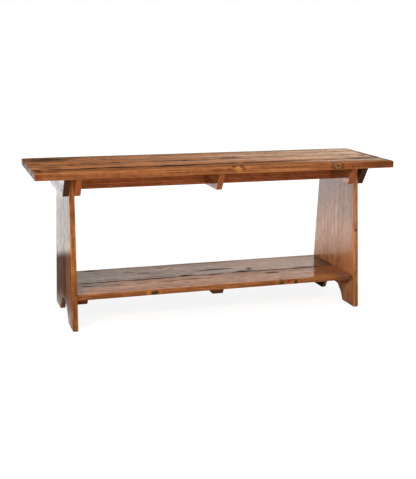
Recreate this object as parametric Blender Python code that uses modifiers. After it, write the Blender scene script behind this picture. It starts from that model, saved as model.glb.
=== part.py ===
"""Rustic pine mudroom bench: a plank seat and a low shelf on two bootjack end panels.

Metres, +Z up, the floor at z = 0, the length along X and the front facing -Y.
"""

import math

import bmesh
import bpy
from mathutils import Vector

# Seat
SEAT_LENGTH = 1.212
SEAT_HEIGHT = 0.508
SEAT_THICKNESS = 0.024
SEAT_BOARD_WIDTHS = (0.086, 0.084, 0.103, 0.084)  # front to rear
SEAT_OVERHANG = 0.109  # past the outer face of each end panel

# End panels
PANEL_THICKNESS = 0.018
PANEL_TOP_WIDTH = 0.262
PANEL_BOTTOM_WIDTH = 0.347
PANEL_MIDDLE_BOARD_WIDTH = 0.116
ARCH_WIDTH = 0.168
ARCH_HEIGHT = 0.060
ARCH_STEPS = 8  # straight steps in each board's stretch of the arch

# Cleats and spine under the seat
CLEAT_THICKNESS = 0.019
CLEAT_HEIGHT = 0.058
CLEAT_END_INSET = 0.009  # top corner, back from the seat's edge
CLEAT_END_CUT = 0.038  # bottom corner, back from the top corner
SPINE_THICKNESS = 0.019
CENTRE_X = -0.004  # the centre cleat and batten stand a little left of the middle

# Shelf
SHELF_TOP = 0.109
SHELF_THICKNESS = 0.018
SHELF_FRONT_BOARD_WIDTH = 0.136
SHELF_FRONT_INSET = 0.017  # back from the panel's front edge at the shelf's height
SHELF_REAR_INSET = 0.009
BATTEN_WIDTH = 0.037
BATTEN_HEIGHT = 0.016
BATTEN_END_INSET = 0.005  # top corner, back from the shelf's edge
BATTEN_END_CUT = 0.011  # bottom corner, back from the top corner

# Fasteners
SCREW_HEAD_RADIUS = 0.0042
SCREW_HEAD_HEIGHT = 0.0032
SCREW_SHANK_RADIUS = 0.0021
SCREW_TIP_LENGTH = 0.005
SCREW_SIDES = 10
SEAT_SCREW_BITE = 0.015  # length in the seat board
SEAT_SCREW_COUNTERBORE = 0.020  # depth of the head below the cleat's bottom edge
SEAT_SCREW_END_MARGIN = 0.020  # least distance from the cleat's bottom corner
COUNTERBORE_RADIUS = 0.0055
PANEL_SCREW_BITE = 0.013  # length in the outer cleat
PANEL_SCREW_INSET = 0.037  # in from the cleat's bottom corner
PANEL_SCREW_RISE = 0.023  # above the cleat's bottom edge
SHELF_SCREW_BITE = 0.012  # length in the shelf board
BATTEN_SCREW_BITE = 0.012  # length in the end panel
BATTEN_SCREW_INSET = 0.018  # in from the batten's bottom corner
DOWEL_RADIUS = 0.004
DOWEL_IN_CLEAT = 0.012
DOWEL_IN_SPINE = 0.020
DOWEL_SIDES = 12
DOWEL_CHAMFER = 0.0008

# Fits and edges
GAP = 0.0003  # between pieces that are glued, screwed or laid together
WELD = 0.00003  # points this close are one point
HEAD_SINK = 0.0003  # screw head below the wood's face
CUT_PAST = 0.004  # how far a cutter runs out of the face that it enters
SEAT_EASE = 0.003  # rounding of the seat's outer edges
EDGE_EASE = 0.002  # rounding of the other pieces' edges
PLANK_JOINT_EASE = 0.0012  # rounding along the open joints of the seat and shelf
GLUED_JOINT_EASE = 0  # the end panels' boards meet flush
EDGE_SEGMENTS = 2
SHARP_ANGLE = math.radians(40)

# Finishes: colour, roughness, metallic
SEAT_PINE = ((0.36, 0.15, 0.055, 1), 0.32, 0)
PANEL_PINE = ((0.33, 0.14, 0.05, 1), 0.32, 0)
SHELF_PINE = ((0.31, 0.12, 0.045, 1), 0.30, 0)
RAIL_PINE = ((0.24, 0.08, 0.03, 1), 0.35, 0)
SCREW_STEEL = ((0.30, 0.27, 0.23, 1), 0.40, 1)
BEECH = ((0.62, 0.42, 0.24, 1), 0.60, 0)

# Levels and places that follow from the sizes above
SEAT_DEPTH = sum(SEAT_BOARD_WIDTHS) + GAP * (len(SEAT_BOARD_WIDTHS) - 1)
SEAT_UNDERSIDE = SEAT_HEIGHT - SEAT_THICKNESS
FRAME_TOP = SEAT_UNDERSIDE - GAP
CLEAT_BOTTOM = FRAME_TOP - CLEAT_HEIGHT
CLEAT_TOP_HALF = SEAT_DEPTH / 2 - CLEAT_END_INSET
CLEAT_BOTTOM_HALF = CLEAT_TOP_HALF - CLEAT_END_CUT
PANEL_OUTER_X = SEAT_LENGTH / 2 - SEAT_OVERHANG
PANEL_INNER_X = PANEL_OUTER_X - PANEL_THICKNESS
INNER_CLEAT_X = PANEL_INNER_X - GAP - CLEAT_THICKNESS / 2
OUTER_CLEAT_X = PANEL_OUTER_X + GAP + CLEAT_THICKNESS / 2
SPINE_END_X = INNER_CLEAT_X - CLEAT_THICKNESS / 2 - GAP
SHELF_UNDERSIDE = SHELF_TOP - SHELF_THICKNESS
BATTEN_TOP = SHELF_UNDERSIDE - GAP
BATTEN_BOTTOM = BATTEN_TOP - BATTEN_HEIGHT
END_BATTEN_X = PANEL_INNER_X - GAP - BATTEN_WIDTH / 2


def panel_half_width(height):
    """Half the end panel's width at a height above the floor."""
    rise = height / FRAME_TOP
    return (PANEL_BOTTOM_WIDTH * (1 - rise) + PANEL_TOP_WIDTH * rise) / 2


SHELF_FRONT = -panel_half_width(SHELF_TOP) + SHELF_FRONT_INSET
SHELF_REAR = panel_half_width(SHELF_TOP) - SHELF_REAR_INSET
SHELF_JOINT = SHELF_FRONT + SHELF_FRONT_BOARD_WIDTH


def clear_scene():
    for obj in list(bpy.data.objects):
        bpy.data.objects.remove(obj, do_unlink=True)


def new_collection(name, parent):
    collection = bpy.data.collections.new(name)
    parent.children.link(collection)
    return collection


def finish(obj, colour, roughness, metallic):
    """Gives the object a material of its own."""
    material = bpy.data.materials.new(obj.name + "_finish")
    material.use_nodes = True
    shader = material.node_tree.nodes["Principled BSDF"]
    shader.inputs["Base Color"].default_value = colour
    shader.inputs["Roughness"].default_value = roughness
    shader.inputs["Metallic"].default_value = metallic
    obj.data.materials.append(material)


def add_piece(name, mesh, looks):
    obj = bpy.data.objects.new(name, mesh)
    pieces.objects.link(obj)
    obj.parent = bench
    finish(obj, *looks)
    return obj


def ease_edges(obj, ease, joint_ease, joint_axis, joint_faces):
    """Rounds the sharp edges, and by a size of their own those along the faces that join a neighbour."""
    shape = bmesh.new()
    shape.from_mesh(obj.data)
    weight = shape.edges.layers.float.new("bevel_weight_edge")
    for edge in shape.edges:
        if edge.calc_face_angle() < SHARP_ANGLE:
            continue
        places = [vertex.co[joint_axis] for vertex in edge.verts]
        joined = any(max(abs(place - face) for place in places) < WELD for face in joint_faces)
        edge[weight] = joint_ease / ease if joined else 1
    shape.to_mesh(obj.data)
    shape.free()
    bevel = obj.modifiers.new("eased_edges", "BEVEL")
    bevel.width = ease
    bevel.segments = EDGE_SEGMENTS
    bevel.limit_method = "WEIGHT"


def box_mesh(name, low, high):
    """A box between two corners, around its own centre."""
    size = Vector(high) - Vector(low)
    mesh = bpy.data.meshes.new(name)
    shape = bmesh.new()
    bmesh.ops.create_cube(shape, size=1)
    bmesh.ops.scale(shape, vec=size, verts=shape.verts)
    shape.to_mesh(mesh)
    shape.free()
    return mesh


def add_board(name, low, high, looks, ease, joints):
    """A plain board between two corners, with open joints along the sides at the given y."""
    obj = add_piece(name, box_mesh(name, low, high), looks)
    obj.location = (Vector(low) + Vector(high)) / 2
    ease_edges(obj, ease, PLANK_JOINT_EASE, 1, [y - obj.location.y for y in joints])
    return obj


def add_cut_board(name, outline, thickness, x, looks, joints=()):
    """A board across the bench from an outline of (y, z) points, glued to others at the given y."""
    curve = bpy.data.curves.new(name + "_outline", "CURVE")
    curve.dimensions = "2D"
    curve.fill_mode = "BOTH"
    curve.extrude = thickness / 2
    spline = curve.splines.new("POLY")
    spline.points.add(len(outline) - 1)
    for point, (y, z) in zip(spline.points, outline):
        point.co = (y, z, 0, 1)
    spline.use_cyclic_u = True
    guide = bpy.data.objects.new(name + "_outline", curve)
    pieces.objects.link(guide)
    guide.location.x = x
    guide.rotation_euler = (math.pi / 2, 0, math.pi / 2)
    bpy.context.view_layer.update()
    graph = bpy.context.evaluated_depsgraph_get()
    mesh = bpy.data.meshes.new_from_object(guide.evaluated_get(graph))
    mesh.name = name
    shape = bmesh.new()
    shape.from_mesh(mesh)
    bmesh.ops.remove_doubles(shape, verts=shape.verts, dist=WELD)
    bmesh.ops.recalc_face_normals(shape, faces=shape.faces)
    shape.to_mesh(mesh)
    shape.free()
    mesh.materials.clear()
    obj = add_piece(name, mesh, looks)
    obj.matrix_world = guide.matrix_world
    bpy.data.objects.remove(guide, do_unlink=True)
    ease_edges(obj, EDGE_EASE, GLUED_JOINT_EASE, 0, joints)
    return obj


def turned(name, profile, sides, collection):
    """A turned solid along Z, from (radius, z) points that run from top to bottom."""
    mesh = bpy.data.meshes.new(name)
    points = [(radius, 0, z) for radius, z in profile]
    mesh.from_pydata(points, [(i, i + 1) for i in range(len(points) - 1)], [])
    obj = bpy.data.objects.new(name, mesh)
    collection.objects.link(obj)
    spin = obj.modifiers.new("turned", "SCREW")
    spin.steps = sides
    spin.render_steps = sides
    spin.use_merge_vertices = True
    spin.merge_threshold = WELD
    spin.use_smooth_shade = True
    return obj


def aim(obj, point, direction):
    """Puts the object's top at a point, with its lower end along a direction."""
    obj.location = point
    obj.rotation_mode = "QUATERNION"
    obj.rotation_quaternion = Vector(direction).to_track_quat("-Z", "Y")


def make_cutter(obj):
    obj.hide_render = True
    obj.display_type = "WIRE"


def cut(piece, cutter):
    """Adds a cutter to the ones that are taken out of a piece."""
    name = piece.name + "_cuts"
    own = bpy.data.collections.get(name)
    if own is None:
        own = new_collection(name, cutters)
        boolean = piece.modifiers.new("cuts", "BOOLEAN")
        boolean.operand_type = "COLLECTION"
        boolean.collection = own
        boolean.solver = "EXACT"
    own.objects.link(cutter)


def cut_box(piece, name, low, high):
    obj = bpy.data.objects.new(name, box_mesh(name, low, high))
    obj.location = (Vector(low) + Vector(high)) / 2
    make_cutter(obj)
    cut(piece, obj)


def screw_profile(length, slack):
    """A flat-head screw from its axis at the head's top to its tip, grown all round by a slack."""
    head = SCREW_HEAD_RADIUS + slack
    shank = SCREW_SHANK_RADIUS + slack
    return [
        (head, 0),
        (shank, -SCREW_HEAD_HEIGHT),
        (shank, SCREW_TIP_LENGTH - length - slack),
        (0, -length - slack),
    ]


def add_screw(name, entry, direction, length, sink, mouth_radius, through):
    """A screw whose head lies at a depth below the entry point, and its hole in every piece it goes through."""
    direction = Vector(direction)
    head = Vector(entry) + direction * sink
    screw = turned(name, [(0, 0)] + screw_profile(length, 0), SCREW_SIDES, pieces)
    screw.parent = bench
    finish(screw, *SCREW_STEEL)
    aim(screw, head, direction)
    mouth = [(0, sink + CUT_PAST), (mouth_radius, sink + CUT_PAST), (mouth_radius, 0)]
    hole = turned(name + "_hole", mouth + screw_profile(length, GAP), SCREW_SIDES, cutters)
    make_cutter(hole)
    aim(hole, head, direction)
    for piece in through:
        cut(piece, hole)


def add_flush_screw(name, entry, direction, length, through):
    add_screw(name, entry, direction, length, HEAD_SINK, SCREW_HEAD_RADIUS + 2 * GAP, through)


def dowel_profile(length, radius, chamfer):
    return [
        (0, 0),
        (radius - chamfer, 0),
        (radius, -chamfer),
        (radius, chamfer - length),
        (radius - chamfer, -length),
        (0, -length),
    ]


def add_dowel(name, start, direction, length, through):
    dowel = turned(name, dowel_profile(length, DOWEL_RADIUS, DOWEL_CHAMFER), DOWEL_SIDES, pieces)
    dowel.parent = bench
    finish(dowel, *BEECH)
    aim(dowel, start, direction)
    bore = dowel_profile(length + 2 * GAP, DOWEL_RADIUS + GAP, DOWEL_CHAMFER)
    hole = turned(name + "_hole", bore, DOWEL_SIDES, cutters)
    make_cutter(hole)
    aim(hole, Vector(start) - Vector(direction) * GAP, direction)
    for piece in through:
        cut(piece, hole)


def add_seat():
    """The seat boards, front to rear, and each one's span across the seat."""
    boards = []
    front = -SEAT_DEPTH / 2
    for place, width in zip(("front", "front_middle", "rear_middle", "rear"), SEAT_BOARD_WIDTHS):
        rear = front + width
        low = (-SEAT_LENGTH / 2, front, SEAT_UNDERSIDE)
        high = (SEAT_LENGTH / 2, rear, SEAT_HEIGHT)
        joints = [y for y in (front, rear) if abs(y) < SEAT_DEPTH / 2 - WELD]
        board = add_board("seat_board_" + place, low, high, SEAT_PINE, SEAT_EASE, joints)
        boards.append((place, board, (front + rear) / 2))
        front = rear + GAP
    return boards


def arch_height(y):
    """The arch's height above the floor at a distance from its middle."""
    half = ARCH_WIDTH / 2
    radius = (half**2 + ARCH_HEIGHT**2) / (2 * ARCH_HEIGHT)
    return math.sqrt(radius**2 - y**2) - radius + ARCH_HEIGHT


def arch_points(start, end):
    """Points along the arch between two distances from its middle."""
    steps = [start + (end - start) * i / ARCH_STEPS for i in range(ARCH_STEPS + 1)]
    return [(y, max(arch_height(y), 0)) for y in steps]


def add_end_panel(side, sign):
    """An end panel of three upright boards, with the bootjack arch cut across their feet."""
    x = sign * (PANEL_OUTER_X - PANEL_THICKNESS / 2)
    half = PANEL_MIDDLE_BOARD_WIDTH / 2
    middle = arch_points(-half, half) + [(half, FRAME_TOP), (-half, FRAME_TOP)]
    rear = arch_points(half + GAP, ARCH_WIDTH / 2)
    rear += [(panel_half_width(0), 0), (panel_half_width(FRAME_TOP), FRAME_TOP), (half + GAP, FRAME_TOP)]
    front = [(-y, z) for y, z in reversed(rear)]
    joints = {"front": [-half - GAP], "middle": [-half, half], "rear": [half + GAP]}
    boards = {}
    for place, outline in (("front", front), ("middle", middle), ("rear", rear)):
        name = f"{side}_end_panel_{place}_board"
        boards[place] = add_cut_board(name, outline, PANEL_THICKNESS, x, PANEL_PINE, joints[place])
    return boards


def trapezoid(front_top, rear_top, end_cut, bottom, top):
    """An outline whose two ends slope in towards the bottom."""
    return [(front_top + end_cut, bottom), (rear_top - end_cut, bottom), (rear_top, top), (front_top, top)]


def add_cleat(name, x):
    outline = trapezoid(-CLEAT_TOP_HALF, CLEAT_TOP_HALF, CLEAT_END_CUT, CLEAT_BOTTOM, FRAME_TOP)
    return add_cut_board(name, outline, CLEAT_THICKNESS, x, RAIL_PINE)


def add_batten(name, x):
    front = SHELF_FRONT + BATTEN_END_INSET
    rear = SHELF_REAR - BATTEN_END_INSET
    outline = trapezoid(front, rear, BATTEN_END_CUT, BATTEN_BOTTOM, BATTEN_TOP)
    return add_cut_board(name, outline, BATTEN_WIDTH, x, RAIL_PINE)


def add_spine(centre_cleat):
    """The spine, half lapped over the centre cleat."""
    half = SPINE_THICKNESS / 2
    low = (-SPINE_END_X, -half, CLEAT_BOTTOM)
    high = (SPINE_END_X, half, FRAME_TOP)
    spine = add_board("seat_spine", low, high, RAIL_PINE, EDGE_EASE, [])
    lap = (CLEAT_BOTTOM + FRAME_TOP) / 2
    cleat_half = CLEAT_THICKNESS / 2 + GAP
    low = (CENTRE_X - cleat_half, -half - CUT_PAST, CLEAT_BOTTOM - CUT_PAST)
    high = (CENTRE_X + cleat_half, half + CUT_PAST, lap + GAP / 2)
    cut_box(spine, "spine_lap", low, high)
    low = (CENTRE_X - cleat_half - CUT_PAST, -half - GAP, lap - GAP / 2)
    high = (CENTRE_X + cleat_half + CUT_PAST, half + GAP, FRAME_TOP + CUT_PAST)
    cut_box(centre_cleat, "centre_cleat_lap", low, high)
    return spine


def add_shelf():
    """The shelf boards and each one's middle across the shelf."""
    end = PANEL_INNER_X - GAP
    boards = []
    spans = (("front", SHELF_FRONT, SHELF_JOINT), ("rear", SHELF_JOINT + GAP, SHELF_REAR))
    for place, front, rear in spans:
        low = (-end, front, SHELF_UNDERSIDE)
        high = (end, rear, SHELF_TOP)
        joint = rear if place == "front" else front
        board = add_board("shelf_board_" + place, low, high, SHELF_PINE, EDGE_EASE, [joint])
        boards.append((place, board, (front + rear) / 2))
    return boards


def screw_seat_to_cleat(label, cleat, x, boards):
    length = CLEAT_HEIGHT - SEAT_SCREW_COUNTERBORE + GAP + SEAT_SCREW_BITE
    limit = CLEAT_BOTTOM_HALF - SEAT_SCREW_END_MARGIN
    for place, board, middle in boards:
        y = max(-limit, min(limit, middle))
        name = f"seat_screw_{label}_{place}"
        entry = (x, y, CLEAT_BOTTOM)
        add_screw(name, entry, (0, 0, 1), length, SEAT_SCREW_COUNTERBORE, COUNTERBORE_RADIUS, (cleat, board))


def screw_cleats_to_panel(side, sign, cleats, boards):
    """Screws from the inner cleat through the panel's outer boards into the outer cleat."""
    length = CLEAT_THICKNESS + PANEL_THICKNESS + 2 * GAP + PANEL_SCREW_BITE
    x = sign * (INNER_CLEAT_X - CLEAT_THICKNESS / 2)
    y = CLEAT_BOTTOM_HALF - PANEL_SCREW_INSET
    for place, toward in (("front", -1), ("rear", 1)):
        entry = (x, toward * y, CLEAT_BOTTOM + PANEL_SCREW_RISE)
        add_flush_screw(f"{side}_cleat_screw_{place}", entry, (sign, 0, 0), length, (*cleats, boards[place]))


def screw_shelf_to_batten(label, batten, x, boards):
    length = BATTEN_HEIGHT + GAP + SHELF_SCREW_BITE
    for place, board, middle in boards:
        entry = (x, middle, BATTEN_BOTTOM)
        add_flush_screw(f"shelf_screw_{label}_{place}", entry, (0, 0, 1), length, (batten, board))


def screw_batten_to_panel(side, sign, batten, boards):
    length = BATTEN_WIDTH + GAP + BATTEN_SCREW_BITE
    x = sign * (END_BATTEN_X - BATTEN_WIDTH / 2)
    inset = BATTEN_END_INSET + BATTEN_END_CUT + BATTEN_SCREW_INSET
    for place, y in (("front", SHELF_FRONT + inset), ("rear", SHELF_REAR - inset)):
        entry = (x, y, (BATTEN_TOP + BATTEN_BOTTOM) / 2)
        add_flush_screw(f"{side}_batten_screw_{place}", entry, (sign, 0, 0), length, (batten, boards[place]))


def add_end(side, sign, seat, shelf, spine):
    """Everything at one end of the bench: the panel, its cleats and batten, and their fasteners."""
    boards = add_end_panel(side, sign)
    inner = add_cleat(f"{side}_inner_cleat", sign * INNER_CLEAT_X)
    outer = add_cleat(f"{side}_outer_cleat", sign * OUTER_CLEAT_X)
    batten = add_batten(f"{side}_shelf_batten", sign * END_BATTEN_X)
    screw_seat_to_cleat(f"{side}_inner", inner, sign * INNER_CLEAT_X, seat)
    screw_seat_to_cleat(f"{side}_outer", outer, sign * OUTER_CLEAT_X, seat)
    screw_cleats_to_panel(side, sign, (inner, outer), boards)
    screw_shelf_to_batten(side, batten, sign * END_BATTEN_X, shelf)
    screw_batten_to_panel(side, sign, batten, boards)
    start = (sign * (SPINE_END_X + GAP + DOWEL_IN_CLEAT), 0, (CLEAT_BOTTOM + FRAME_TOP) / 2)
    add_dowel(f"{side}_spine_dowel", start, (-sign, 0, 0), DOWEL_IN_CLEAT + GAP + DOWEL_IN_SPINE, (inner, spine))


clear_scene()
pieces = new_collection("mudroom_bench", bpy.context.scene.collection)
cutters = new_collection("cutters", bpy.context.scene.collection)
cutters.hide_render = True
bench = bpy.data.objects.new("bench_origin", None)
pieces.objects.link(bench)

seat_boards = add_seat()
shelf_boards = add_shelf()
middle_cleat = add_cleat("centre_cleat", CENTRE_X)
seat_spine = add_spine(middle_cleat)
middle_batten = add_batten("centre_shelf_batten", CENTRE_X)
screw_seat_to_cleat("centre", middle_cleat, CENTRE_X, seat_boards)
screw_shelf_to_batten("centre", middle_batten, CENTRE_X, shelf_boards)
add_end("left", -1, seat_boards, shelf_boards, seat_spine)
add_end("right", 1, seat_boards, shelf_boards, seat_spine)
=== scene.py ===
"""Looks of the mudroom bench: worn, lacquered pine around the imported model, and its studio.

Metres, +Z up, the floor at z = 0, the length along X and the front facing -Y, as in the model.
"""

import math
from dataclasses import dataclass

import bmesh
import bpy
from mathutils import Matrix, Vector, noise


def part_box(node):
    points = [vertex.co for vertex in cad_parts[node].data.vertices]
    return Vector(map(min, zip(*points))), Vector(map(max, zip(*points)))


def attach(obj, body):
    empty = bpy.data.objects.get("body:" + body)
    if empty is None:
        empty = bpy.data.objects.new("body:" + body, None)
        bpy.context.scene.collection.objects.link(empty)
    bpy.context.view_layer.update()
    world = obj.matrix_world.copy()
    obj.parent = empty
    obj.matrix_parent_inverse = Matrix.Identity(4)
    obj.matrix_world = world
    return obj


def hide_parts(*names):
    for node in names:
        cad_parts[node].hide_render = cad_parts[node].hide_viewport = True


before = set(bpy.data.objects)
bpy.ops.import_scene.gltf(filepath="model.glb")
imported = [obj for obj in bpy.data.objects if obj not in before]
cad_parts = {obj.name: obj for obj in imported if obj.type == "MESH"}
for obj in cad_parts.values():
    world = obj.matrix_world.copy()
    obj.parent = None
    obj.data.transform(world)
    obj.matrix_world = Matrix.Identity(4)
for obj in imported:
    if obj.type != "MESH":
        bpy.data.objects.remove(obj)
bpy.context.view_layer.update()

# Photograph and camera
IMAGE_WIDTH = 416
IMAGE_HEIGHT = 479
OPTICAL_CENTRE = (193.9, 187.6)  # pixels from the image's top left corner
FOCAL_LENGTH = 886.3  # pixels
SENSOR = 36.0  # millimetres over the image's longer side
CAMERA_PLACE = (-0.9282, -2.8307, 0.9210)
CAMERA_YAW = 0.3009  # radians, turned right from +Y
CAMERA_PITCH = 0.1697  # radians, tilted down
CAMERA_ROLL = 0.0088  # radians

# Axes
X, Y, Z = range(3)

# Mesh of a board
CORNER_STEPS = 4
CAP_STEPS = 3
STATION_PITCH = 0.012  # along a level board
CROSS_PITCH = STATION_PITCH / 2  # across a middle panel board
ARCH_PITCH = STATION_PITCH / 3  # up the arch in an outer panel board
SECTION_PITCH = 0.016
ARRIS_BAND = 0.0035  # from a corner's rounding to the first point on the flat
SEAT_ARRIS = 0.0024
SEAT_NOSING = (0.009, 0.0030)  # front top edge, across and down
SHELF_ARRIS = 0.0028
SHELF_NOSING = (0.008, 0.0036)
PANEL_ARRIS = 0.0026
OPEN_JOINT_ARRIS = 0.0022
SEAT_CROWN = 0.0004  # how much a seat board falls from its middle to its sides
SHELF_CROWN = 0.0005
WELD = 0.00001
SMOOTH_ANGLE = math.radians(38)

# Wear of a board: waves of its noises for each metre, their steps from corner to corner, and their seeds
WORN_SHARE = 0.45  # how far wear changes a rounding
WORN_WAVES = 14
WORN_STEP = 5.3
DENT_WAVES = 37
DENT_STEP = 9.1
DENT_SEED = 40
DENT_FROM = 0.72  # noise above this makes a dent
DENT_GAIN = 3
LEAST_ARRIS = 0.2  # share of a rounding that always stays
RIPPLE = 0.0004  # hand-planed unevenness of a face
FACE_WAVES = (5, 30)  # along and across a face
FACE_SEED = 7
SIDE_WAVES = (7, 40)
SIDE_SEED = 19

# End panels, as in the model
ARCH_WIDTH = 0.168
ARCH_HEIGHT = 0.060
PANEL_TOP_WIDTH = 0.262
ARCH_RADIUS = ((ARCH_WIDTH / 2) ** 2 + ARCH_HEIGHT**2) / (2 * ARCH_HEIGHT)


def arch_height(y):
    """The arch's height above the floor at a distance from its middle."""
    return max(math.sqrt(ARCH_RADIUS**2 - y**2) - ARCH_RADIUS + ARCH_HEIGHT, 0)


def arch_half_width(z):
    """Half the arch's width at a height above the floor."""
    return math.sqrt(max(ARCH_RADIUS**2 - (z + ARCH_RADIUS - ARCH_HEIGHT) ** 2, 0))


# Board meshes


def spread(start, end, pitch):
    """Evenly spaced values from start to end, about a pitch apart."""
    steps = max(1, round(abs(end - start) / pitch))
    return [start + (end - start) * i / steps for i in range(steps + 1)]


def ragged(*place):
    """Smooth noise between 0 and 1."""
    return min(1, max(0, 0.5 + 0.5 * noise.noise(Vector(place))))


def side_shares(length):
    """Where points lie on a flat of this length, as shares of it: near each corner, then a pitch apart."""
    band = min(ARRIS_BAND, length / 4)
    return [value / length for value in spread(band, length - band, SECTION_PITCH)]


def section(low, high, bottom, top, radii, shares):
    """Points and arris shares round a board's section, its corners rounded by radii in turn.

    The corners run low-bottom, high-bottom, high-top, low-top. shares holds where the points of each
    side lie between its two corners, so that all sections of a board match.
    """
    corners = [(low, bottom), (high, bottom), (high, top), (low, top)]
    inward = [(1, 1), (-1, 1), (-1, -1), (1, -1)]
    points = []
    for k, ((b, c), (right, up), (wide, deep)) in enumerate(zip(corners, inward, radii)):
        turn = math.pi + k * math.pi / 2
        for step in range(CORNER_STEPS + 1):
            part = step / CORNER_STEPS
            angle = turn + part * math.pi / 2
            across = b + right * wide + wide * math.cos(angle)
            through = c + up * deep + deep * math.sin(angle)
            points.append((across, through, math.sin(part * math.pi)))
        following = (k + 1) % len(corners)
        level = k % 2 == 0
        axis = 0 if level else 1
        start, end = [
            corners[i][axis] + inward[i][axis] * radii[i][axis] for i in (k, following)
        ]
        for share in shares[k]:
            along = start + (end - start) * share
            points.append((along, c, 0.0) if level else (b, along, 0.0))
    return points


def end_levels(end, ease, sense):
    """Stations and insets through a board's rounded end, from its tip inward."""
    if not ease:
        return [(end, 0.0)]
    turns = [i / CAP_STEPS * math.pi / 2 for i in range(CAP_STEPS, -1, -1)]
    return [(end + sense * ease * (1 - math.sin(turn)), ease * (1 - math.cos(turn))) for turn in turns]


def worn_corners(corners, s, inset, seed):
    """The rounding of a section's four corners, as wear has left it."""
    worn = []
    for k, corner in enumerate(corners):
        share = 1 + WORN_SHARE * (2 * ragged(s * WORN_WAVES, k * WORN_STEP, seed) - 1)
        dent = max(0, ragged(s * DENT_WAVES, k * DENT_STEP, seed + DENT_SEED) - DENT_FROM) * DENT_GAIN
        worn.append([max(radius * (share + dent) - inset, radius * LEAST_ARRIS) for radius in corner])
    return worn


def loft(name, axes, stations, span, faces, radii, end_eases, crown, seed):
    """A board made of rounded sections along one axis.

    axes are the axes along, across and through the board. span(s) gives its two sides at a station,
    faces its two faces, radii(s) the rounding of the four corners of the section there, and end_eases
    the rounding of its two ends.
    """
    along, across, through = axes
    low, high = span(stations[len(stations) // 2])
    shares = [side_shares(high - low), side_shares(faces[1] - faces[0])] * 2
    first, last = stations[0] + end_eases[0], stations[-1] - end_eases[1]
    body = [(s, 0.0) for s in stations if first + WELD < s < last - WELD]
    head = end_levels(stations[0], end_eases[0], 1)
    tail = end_levels(stations[-1], end_eases[1], -1)
    centre, depth = sum(faces) / 2, (faces[1] - faces[0]) / 2
    shape = bmesh.new()
    wear = shape.verts.layers.float.new("arris")
    rings = []
    for s, inset in head + body + tail[::-1]:
        low, high = span(s)
        middle, half = (low + high) / 2, (high - low) / 2
        worn = worn_corners(radii(s), s, inset, seed)
        ring = []
        outline = section(low + inset, high - inset, faces[0] + inset, faces[1] - inset, worn, shares)
        for b, c, arris in outline:
            fall = crown * min(1, abs(b - middle) / half) ** 2
            fall += RIPPLE * ragged(s * FACE_WAVES[0], b * FACE_WAVES[1], seed + FACE_SEED)
            pinch = RIPPLE * ragged(s * SIDE_WAVES[0], c * SIDE_WAVES[1], seed + SIDE_SEED)
            place = [0.0, 0.0, 0.0]
            place[along] = s
            place[across] = middle + (b - middle) * (1 - pinch / half)
            place[through] = centre + (c - centre) * (1 - fall / depth)
            vertex = shape.verts.new(place)
            vertex[wear] = arris
            ring.append(vertex)
        rings.append(ring)
    for ring, following in zip(rings, rings[1:]):
        for i in range(len(ring)):
            j = (i + 1) % len(ring)
            shape.faces.new((ring[i], ring[j], following[j], following[i]))
    shape.faces.new(rings[0][::-1])
    shape.faces.new(rings[-1])
    bmesh.ops.remove_doubles(shape, verts=shape.verts, dist=WELD)
    bmesh.ops.dissolve_degenerate(shape, edges=shape.edges, dist=WELD)
    bmesh.ops.recalc_face_normals(shape, faces=shape.faces)
    mesh = bpy.data.meshes.new(name)
    shape.to_mesh(mesh)
    shape.free()
    mesh.shade_smooth()
    mesh.set_sharp_from_angle(angle=SMOOTH_ANGLE)
    obj = bpy.data.objects.new(name, mesh)
    bpy.context.scene.collection.objects.link(obj)
    return obj


def stand_in(piece, node):
    """Puts a finer piece in the place of the model's solid."""
    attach(piece, "root")
    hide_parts(node)


def level_board(node, arrises, end_ease, crown, seed):
    """A board along X in its node's box, its four corners rounded by arrises in turn."""
    low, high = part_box(node)
    stations = spread(low[X], high[X], STATION_PITCH)
    return loft(
        node + "_worn", (X, Y, Z), stations, lambda s: (low[Y], high[Y]), (low[Z], high[Z]),
        lambda s: arrises, (end_ease, end_ease), crown, seed,
    )


def outer_panel_board(node, seed):
    """The front or rear board of an end panel: one side leans, and the arch cuts the other one's foot."""
    low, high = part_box(node)
    sense = -1 if low[Y] + high[Y] < 0 else 1
    foot, joint = (low[Y], high[Y]) if sense < 0 else (high[Y], low[Y])
    top_side = sense * PANEL_TOP_WIDTH / 2
    spring = arch_height(joint)

    def span(z):
        free = foot + (top_side - foot) * z / high[Z]
        inner = joint if z >= spring else sense * max(arch_half_width(z), abs(joint))
        return (free, inner) if sense < 0 else (inner, free)

    def radii(z):
        free = (PANEL_ARRIS, PANEL_ARRIS)
        inner = (0, 0) if z >= spring else free
        return (free, inner, inner, free) if sense < 0 else (inner, free, free, inner)

    arch = spread(low[Z], spring, ARCH_PITCH)
    stations = arch + spread(spring, high[Z], STATION_PITCH)[1:]
    return loft(
        node + "_worn", (Z, Y, X), stations, span, (low[X], high[X]), radii, (PANEL_ARRIS, 0), 0, seed
    )


def middle_panel_board(node, seed):
    """The middle board of an end panel, from the arch to the seat."""
    low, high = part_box(node)
    stations = spread(low[Y], high[Y], CROSS_PITCH)
    edge, top = (PANEL_ARRIS, PANEL_ARRIS), (0, 0)
    return loft(
        node + "_worn", (Y, Z, X), stations, lambda y: (arch_height(y), high[Z]), (low[X], high[X]),
        lambda y: (edge, top, top, edge), (0, 0), 0, seed,
    )


# Shader nodes

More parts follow.
